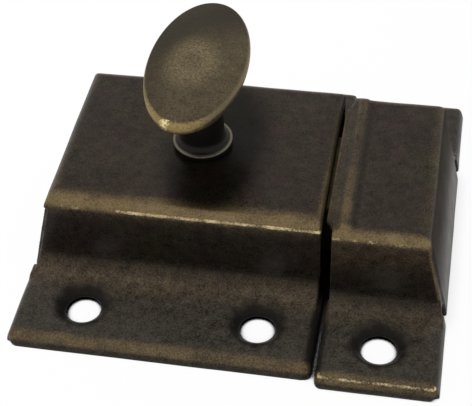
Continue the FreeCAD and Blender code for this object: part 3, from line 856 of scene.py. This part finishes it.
@dataclass
class StampedPan:
    """A pan stamped from sheet. Most ramps are distances from its edges and bends. Millimetres."""

    node: str
    piece: str
    brass: str
    middle: float
    bend: float
    open_end: float
    inward: float
    flap_top: float
    holes: Sequence[float]
    bend_rub: Ramp
    front_rub: Ramp
    rear_rub: Ramp
    lip_rub: Ramp
    lip_rise: Ramp
    lip_strength: float
    corner_rub: Ramp
    # Where the painted light lies high on the front wall and along its foot.
    warm_top: Ramp
    warm_top_strength: float
    warm_foot: Ramp
    warm_foot_strength: float
    # Where the painted shade lies on the flange beside the gap.
    gap_reach: Ramp
    gap_strength: float
    height: float = 12.6
    wall: float = 12.6
    lip: float = 25.4
    rear_strength: float = 0.5
    corner_face: Ramp = (0.4, 0.0)
    corner_rise: Ramp = (3.0, 5.0)
    corner_strength: float = 0.45
    wall_face: Ramp = (0.3, -0.1)
    foot_near: Ramp = (-0.2, -0.9)
    foot_far: Ramp = (-5.9, -2.0)
    gap_front: Ramp = (-1.4, -4.9)
    gap_level: Ramp = (2.5, 2.0)
    pressing: SoftPressing = field(default_factory=SoftPressing)

    def from_bend(self, ramp: Ramp) -> Ramp:
        """Measure a ramp upwards from where the top bends start."""
        return ramp_from(self.height - self.bend, ramp)

    def from_end(self, ramp: Ramp) -> Ramp:
        """Measure a ramp from the open end into the pan."""
        return ramp_from(self.open_end, ramp, self.inward)

    def from_front(self, ramp: Ramp) -> Ramp:
        """Measure a ramp from the front wall into the pan."""
        return ramp_from(-self.wall, ramp)

    def rubbed(self) -> list[Band]:
        """List where handling has rubbed the pan: its bends, its lips and the corner of its front wall.

        Returns:
            The strips.
        """
        bends = (self.from_bend(self.bend_rub),)
        lips = (self.lip_rise,)
        rear_bend = ramp_from(self.wall, self.rear_rub, -1.0)
        rear_lip = ramp_from(self.lip, self.lip_rub, -1.0)
        corner = Band(
            x=(self.from_end(self.corner_rub),),
            y=(self.from_front(self.corner_face),),
            z=(self.corner_rise,),
            strength=self.corner_strength,
        )
        return [
            Band(y=(self.from_front(self.front_rub),), z=bends),
            Band(y=(rear_bend,), z=bends, strength=self.rear_strength),
            Band(y=(ramp_from(-self.lip, self.lip_rub),), z=lips, strength=self.lip_strength),
            Band(y=(rear_lip,), z=lips, strength=self.rear_strength),
            corner,
        ]

    def glint_lines(self) -> list[Band]:
        """List the painted highlights, thin lines along the bends; each pan has its own."""
        raise NotImplementedError

    def painted_light(self) -> list[Band]:
        """List the painted light: lighter, warmer bands high on the front wall below the bend, and a painted
        reflection along its foot.

        Returns:
            The strips.
        """
        foot = (self.from_front(self.foot_near), self.from_front(self.foot_far))
        return [
            Band(y=(self.from_front(self.wall_face),), z=(self.warm_top,), strength=self.warm_top_strength),
            Band(y=foot, z=(self.warm_foot,), strength=self.warm_foot_strength),
        ]

    def painted_shade(self) -> list[Band]:
        """List the painted shade: the front flange beside the gap, darkened where shade falls.

        Returns:
            The strips.
        """
        gap = (self.from_end(self.gap_reach),)
        front = (self.from_front(self.gap_front),)
        return [Band(x=gap, y=front, z=(self.gap_level,), strength=self.gap_strength)]

    def finish(self) -> DarkenedBrass:
        """Describe the pan's darkened brass: where it is rubbed, and where light, highlights and shade are
        painted.

        Returns:
            The finish.
        """
        return DarkenedBrass(
            self.brass,
            self.middle,
            rubbed=self.rubbed(),
            glint_lines=self.glint_lines(),
            painted_light=self.painted_light(),
            painted_shade=self.painted_shade(),
            holes=self.holes,
        )

    def dress(self) -> list[bpy.types.Object]:
        """Press the pan and dress it.

        Returns:
            The dressed pan.
        """
        pan = self.pressing.press(self.node, self.piece)
        pan.data.materials.append(self.finish().make())
        return [pan]


@dataclass
class CasePan(StampedPan):
    """The larger stamped pan, which carries the knob and the bolt. Millimetres."""

    node: str = "case_cover"
    piece: str = "pressed_case"
    brass: str = "case_brass"
    middle: float = 0.5
    bend: float = 1.7
    open_end: float = 10.5
    inward: float = -1.0
    flap_top: float = -22.98
    holes: Sequence[float] = (-17.7, 3.8)
    bend_rub: Ramp = (-0.35, 0.95)
    front_rub: Ramp = (3.3, 0.5)
    rear_rub: Ramp = (2.0, 0.6)
    lip_rub: Ramp = (2.3, 0.8)
    lip_rise: Ramp = (0.35, 1.2)
    lip_strength: float = 0.72
    corner_rub: Ramp = (0.35, 0.1)
    warm_top: Ramp = (9.4, 11.2)
    warm_top_strength: float = 0.6
    warm_foot: Ramp = (7.0, 2.9)
    warm_foot_strength: float = 0.62
    gap_reach: Ramp = (1.0, -0.2)
    gap_strength: float = 0.95
    rim_rise: Ramp = (0.4, 1.3)
    end_rub: Ramp = (1.4, 0.2)
    end_fade: Ramp = (11.0, -10.0)
    flap_rub: Ramp = (2.1, 0.4)
    flap_fade: Ramp = (4.0, -12.0)

    def rubbed(self) -> list[Band]:
        """Add the rims of the open end and of the flap, which are rubbed most towards the front.

        Returns:
            The strips.
        """
        rims = (self.from_bend(self.rim_rise),)
        end = (self.from_end(self.end_rub),)
        flap = (ramp_from(self.flap_top, self.flap_rub),)
        return [
            *super().rubbed(),
            Band(x=end, y=(self.end_fade,), z=rims, strength=0.75),
            Band(x=end, z=rims, strength=0.32),
            Band(x=flap, y=(self.flap_fade,), z=rims, strength=0.5),
            Band(x=flap, z=rims, strength=0.3),
        ]

    def glint_lines(self) -> list[Band]:
        """List the painted highlights along the front bend: a clear line, and a faint one towards the flap.

        Returns:
            The strips.
        """
        clear = Band(
            x=((-18.0, -12.0),),
            y=(self.from_front((0.9, 0.3)),),
            z=(self.from_bend((0.28, 0.52)), self.from_bend((0.98, 0.7))),
            strength=0.95,
        )
        faint = Band(
            x=((-25.0, -21.0),),
            y=(self.from_front((0.8, 0.3)),),
            z=(self.from_bend((0.32, 0.46)), self.from_bend((0.92, 0.74))),
            strength=0.55,
        )
        return [clear, faint]

    def painted_shade(self) -> list[Band]:
        """Add painted shade at the foot of the front wall beside the gap.

        Returns:
            The strips.
        """
        end = (self.from_end((0.6, 0.0)),)
        wall = Band(x=end, y=(self.from_front(self.wall_face),), z=((7.0, 3.0),), strength=0.7)
        return [*super().painted_shade(), wall]


@dataclass
class KeeperPan(StampedPan):
    """The smaller stamped pan that the bolt shoots into. Millimetres."""

    node: str = "keeper"
    piece: str = "pressed_keeper"
    brass: str = "keeper_brass"
    middle: float = -0.5
    bend: float = 1.3
    open_end: float = 11.75
    inward: float = 1.0
    flap_top: float = 23.21
    holes: Sequence[float] = (18.4,)
    bend_rub: Ramp = (-0.3, 0.8)
    front_rub: Ramp = (2.3, 0.5)
    rear_rub: Ramp = (1.9, 0.7)
    lip_rub: Ramp = (2.2, 0.9)
    lip_rise: Ramp = (0.35, 1.1)
    lip_strength: float = 0.66
    corner_rub: Ramp = (0.4, 0.1)
    warm_top: Ramp = (5.5, 11.0)
    warm_top_strength: float = 1.0
    warm_foot: Ramp = (6.0, 2.9)
    warm_foot_strength: float = 0.4
    gap_reach: Ramp = (0.85, 0.05)
    gap_strength: float = 0.6
    strip_edge: float = 10.9
    bead: float = 12.97
    bead_fade: Ramp = (13.0, -10.0)
    flap_foot: float = 26.0
    flap_lean: float = 0.2217

    def from_bead(self, *ramps: Ramp) -> tuple[Ramp, ...]:
        """Measure ramps across the raised bead from its crest."""
        return tuple(ramp_from(self.bead, ramp) for ramp in ramps)

    def from_top(self, ramp: Ramp) -> Ramp:
        """Measure a ramp upwards from the top panel."""
        return ramp_from(self.height, ramp)

    def rubbed(self) -> list[Band]:
        """Add the bead, the sloping strip before it and the edges of the flap.

        Returns:
            The strips.
        """
        crest = self.from_bead((-0.9, -0.2), (1.15, 0.35))
        crest_rise = (self.from_top((-0.2, 0.1)),)
        bead_end = Band(
            x=self.from_bead((-1.0, -0.5), (1.5, 0.8)),
            y=(self.from_front((2.6, 1.2)),),
            z=(self.from_bend((0.1, 0.8)),),
        )
        strip = (ramp_from(self.strip_edge, (0.45, 0.15)),)
        flap_bend = (ramp_from(self.flap_top, (2.0, 0.6), -1.0),)
        flap_edge = Band(
            x=(ramp_from(self.flap_foot, (0.75, 0.4), -1.0),),
            y=(self.from_front(self.corner_face),),
            z=((3.0, 4.0),),
            lean=self.flap_lean,
            strength=0.6,
        )
        return [
            *super().rubbed(),
            Band(x=crest, y=(self.bead_fade,), z=crest_rise, strength=0.66),
            Band(x=crest, z=crest_rise, strength=0.42),
            bead_end,
            Band(x=strip, z=(self.from_top((-1.4, -0.8)),), strength=0.6),
            Band(x=self.from_bead((-0.3, -0.9)), z=(self.from_top((-1.2, -0.6)),), strength=0.3),
            Band(x=flap_bend, z=(self.from_bend(self.bend_rub),), strength=0.36),
            flap_edge,
        ]

    def glint_lines(self) -> list[Band]:
        """List the painted highlights: lines along the front bend and along the front lip.

        Returns:
            The strips.
        """
        bend = Band(
            y=(self.from_front((0.7, 0.3)),),
            z=(self.from_bend((0.24, 0.36)), self.from_bend((0.76, 0.6))),
            strength=0.72,
        )
        lip = Band(y=(ramp_from(-self.lip, (1.6, 1.1)),), z=((1.3, 1.44), (1.68, 1.55)), strength=0.84)
        return [bend, lip]

    def painted_shade(self) -> list[Band]:
        """Add painted shade along the foot of the bead."""
        foot = self.from_bead((0.8, 1.05), (2.1, 1.3))
        return [*super().painted_shade(), Band(x=foot, z=(self.from_top((-0.5, -0.3)),), strength=0.45)]


@dataclass
class TurnKnob:
    """The oval knob on its stem. Millimetres."""

    axis_x: float = -5.95
    axis_y: float = 0.5
    case_top: float = 12.6
    rim_rise: float = 11.2
    length: float = 23.8
    breadth: float = 12.0
    foot_diameter: float = 7.4
    foot_rim: float = 0.76

    def finish(self) -> RubbedKnobBrass:
        """Describe the knob's brass.

        Returns:
            The finish.
        """
        return RubbedKnobBrass(
            "knob_brass",
            self.axis_x,
            self.axis_y,
            rim_height=self.case_top + self.rim_rise,
            half_length=self.length / 2,
            half_breadth=self.breadth / 2,
            foot_radius=self.foot_diameter / 2,
            foot_top=self.case_top + self.foot_rim,
        )

    def dress(self) -> list[bpy.types.Object]:
        """Dress the knob."""
        return [dress("knob", self.finish().make())]


@dataclass
class BoltSpring:
    """The coil spring behind the bolt. Millimetres and degrees."""

    left: float = -20.615
    right: float = -11.48
    axis_y: float = 0.5
    axis_z: float = 5.9
    diameter: float = 5.2
    wire: float = 0.55
    turns: float = 5.5
    travel: float = 5.6
    wire_sides: int = 10
    steps_per_turn: int = 28
    merge_gap: float = 0.01
    smooth_angle: float = 40.0
    metal: WorkedMetal = WorkedMetal(
        "drawn_wire", (0.33, 0.33, 0.33), (0.2, 0.19, 0.18), lines=(0.1, 1.0, 1.0)
    )

    def _wind(self, spring: bpy.types.Object) -> None:
        """Wind the circle of wire round the spring's axis.

        Args:
            spring: The circle, which becomes the spring.
        """
        axis = bpy.data.objects.new("spring_axis", None)
        bpy.context.scene.collection.objects.link(axis)
        axis.location = [value * MM for value in (self.left, self.axis_y, self.axis_z)]
        winding = spring.modifiers.new("winding", "SCREW")
        winding.object = axis
        winding.axis = "X"
        winding.angle = math.radians(360.0 * self.turns)
        winding.screw_offset = (self.right - self.left - self.wire) * MM
        winding.steps = winding.render_steps = round(self.steps_per_turn * self.turns)
        bpy.context.view_layer.update()
        bpy.ops.object.modifier_apply(modifier=winding.name)
        bpy.data.objects.remove(axis)

    def build(self) -> bpy.types.Object:
        """Make the spring from a circle of wire and close its ends.

        Returns:
            The spring.
        """
        start = (self.left + self.wire / 2, self.axis_y + (self.diameter - self.wire) / 2, self.axis_z)
        bpy.ops.object.select_all(action="DESELECT")
        bpy.ops.mesh.primitive_circle_add(
            vertices=self.wire_sides,
            radius=self.wire / 2 * MM,
            fill_type="NOTHING",
            location=[value * MM for value in start],
        )
        spring = bpy.context.object
        spring.name = "wound_spring"
        spring.data.name = "wound_spring"
        bpy.ops.object.transform_apply(location=True, rotation=True, scale=True)
        self._wind(spring)
        bpy.ops.object.mode_set(mode="EDIT")
        bpy.ops.mesh.select_all(action="SELECT")
        bpy.ops.mesh.remove_doubles(threshold=self.merge_gap * MM)
        bpy.ops.mesh.fill_holes(sides=0)
        bpy.ops.mesh.select_all(action="SELECT")
        bpy.ops.mesh.normals_make_consistent(inside=False)
        bpy.ops.object.mode_set(mode="OBJECT")
        bpy.ops.object.shade_smooth_by_angle(angle=math.radians(self.smooth_angle))
        return spring

    def dress(self) -> list[bpy.types.Object]:
        """Make the spring at its seat at the frame's end and attach it to the case.

        Returns:
            The spring.
        """
        spring = self.build()
        spring.data.materials.append(self.metal.make())
        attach(spring, CASE_BODY)
        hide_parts("bolt_spring")
        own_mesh(spring)
        return [spring]


@dataclass
class LatchWorks:
    """The steel work and the bolt inside the case."""

    steel_nodes: Sequence[str] = ("spindle", "drive_cam", "spindle_washer", "bolt_frame")
    steel: WorkedMetal = WorkedMetal("rolled_steel", (0.22, 0.21, 0.195), (0.11, 0.096, 0.082))
    bolt: WorkedMetal = WorkedMetal(
        "cast_bolt_brass", (0.125, 0.094, 0.046), (0.060, 0.046, 0.026), roughness=0.45
    )

    def dress(self) -> list[bpy.types.Object]:
        """Dress every piece of the works.

        Returns:
            The dressed objects.
        """
        steel = self.steel.make()
        pieces = [dress(node, steel) for node in self.steel_nodes]
        pieces.append(dress("latch_bolt", self.bolt.make()))
        return pieces


@dataclass
class SoftBox:
    """A soft studio lamp. Metres and watts."""

    name: str
    place: Triple
    size: tuple[float, float]
    power: float
    aim: Triple = (0.0, 0.0, 0.008)

    def hang(self) -> bpy.types.Object:
        """Put the lamp up, facing what it lights.

        Returns:
            The lamp.
        """
        data = bpy.data.lights.new(self.name, "AREA")
        data.shape = "RECTANGLE"
        data.size, data.size_y = self.size
        data.energy = self.power
        lamp = bpy.data.objects.new(self.name, data)
        bpy.context.scene.collection.objects.link(lamp)
        lamp.location = self.place
        lamp.visible_glossy = False
        lamp.rotation_euler = (Vector(self.aim) - Vector(self.place)).to_track_quat("-Z", "Y").to_euler()
        return lamp


@dataclass
class Studio:
    """White floor and surround, a soft lamp and the camera. Metres and degrees."""

    floor_size: float = 6.0
    floor_drop: float = 0.00002
    camera_place: Triple = (0.022997, -0.116726, 0.120548)
    camera_turn: Triple = (45.39156, 2.01817, 10.11998)
    camera_near: float = 0.005
    focal_pixels: float = 1298.46
    glow: float = 0.65
    shadow_reach: float = 0.03
    shadow_range: Ramp = (0.36, 0.50)
    ambient: float = 0.18
    paper: Colour = (0.98, 0.98, 0.98)
    # Near-black of the painted shade on the floor in narrow places.
    shade: Colour = (0.01, 0.01, 0.01)
    lamps: Sequence[SoftBox] = (SoftBox("overhead_lamp", (-0.1, 0.03, 0.6), (0.16, 0.16), 3.2),)

    def _open_share(self, graph: NodeGraph) -> Socket:
        """Return 1 on the open floor and 0 in narrow places that little light gets into, such as the gap."""
        nearby = graph.add("AmbientOcclusion", {"Distance": self.shadow_reach}, samples=SHADOW_SAMPLES)
        return graph.ease(nearby.outputs["AO"], *self.shadow_range)

    def _seen_directly(self, graph: NodeGraph) -> Socket:
        """Return 1 for rays of the camera, of reflections and of glass, and 0 for the rest."""
        path = graph.add("LightPath", {})
        return graph.largest(*[path.outputs[ray] for ray in SEEN_RAYS])

    def _floor_finish(self) -> bpy.types.Material:
        """Make the floor's white, which keeps a soft shadow; in narrow places its colour is painted
        near-black, painted shade.

        Returns:
            The material.
        """
        material = bpy.data.materials.new("white_floor")
        material.use_nodes = True
        graph = NodeGraph(material.node_tree)
        graph.tree.nodes.clear()
        clear = self._open_share(graph)
        # Painted shade: the paper's colour turns near-black where little light gets in, such as the gap.
        paper = graph.add("BsdfDiffuse", {"Color": graph.mix(clear, self.shade, self.paper)})
        glow = graph.add("Emission", {"Color": WHITE})
        glowing = graph.product(self._seen_directly(graph), clear, self.glow)
        surface = graph.add("MixShader", {0: glowing, 1: paper.outputs[0], 2: glow.outputs[0]})
        graph.add("OutputMaterial", {"Surface": surface.outputs[0]})
        return material

    def lay_floor(self) -> bpy.types.Object:
        """Lay the white floor.

        Returns:
            The floor.
        """
        bpy.ops.object.select_all(action="DESELECT")
        bpy.ops.mesh.primitive_plane_add(size=self.floor_size, location=(0.0, 0.0, -self.floor_drop))
        floor = bpy.context.object
        floor.name = "studio_floor"
        floor.data.materials.append(self._floor_finish())
        return floor

    def surround(self) -> None:
        """Light the scene evenly from a white surround."""
        world = bpy.data.worlds.new("white_surround")
        bpy.context.scene.world = world
        world.use_nodes = True
        graph = NodeGraph(world.node_tree)
        background = graph.tree.nodes["Background"]
        strength = graph.varied(self.ambient, self._seen_directly(graph), 1.0 - self.ambient)
        graph.feed(background.inputs["Color"], WHITE)
        graph.feed(background.inputs["Strength"], strength)

    def set_camera(self) -> bpy.types.Object:
        """Put the camera where the photograph was taken from.

        Returns:
            The camera.
        """
        data = bpy.data.cameras.new("photo_camera")
        data.sensor_width = SENSOR_WIDTH
        data.lens = self.focal_pixels * SENSOR_WIDTH / PHOTO_WIDTH
        data.clip_start = self.camera_near
        camera = bpy.data.objects.new("photo_camera", data)
        bpy.context.scene.collection.objects.link(camera)
        camera.location = self.camera_place
        camera.rotation_euler = Euler([math.radians(angle) for angle in self.camera_turn])
        bpy.context.scene.camera = camera
        return camera

    def build(self) -> None:
        """Set up the whole studio."""
        bpy.context.scene.view_settings.view_transform = "Standard"
        self.lay_floor()
        self.surround()
        for lamp in self.lamps:
            lamp.hang()
        self.set_camera()


def main() -> None:
    """Dress the latch piece by piece and set up the studio."""
    logging.basicConfig(level=logging.INFO, format="%(name)s: %(message)s")
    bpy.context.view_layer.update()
    for assembly in (CasePan(), KeeperPan(), TurnKnob(), BoltSpring(), LatchWorks()):
        for piece in assembly.dress():
            LOG.info("%s dressed in %s", piece.name, piece.data.materials[0].name)
    Studio().build()


if __name__ == "__main__":
    main()
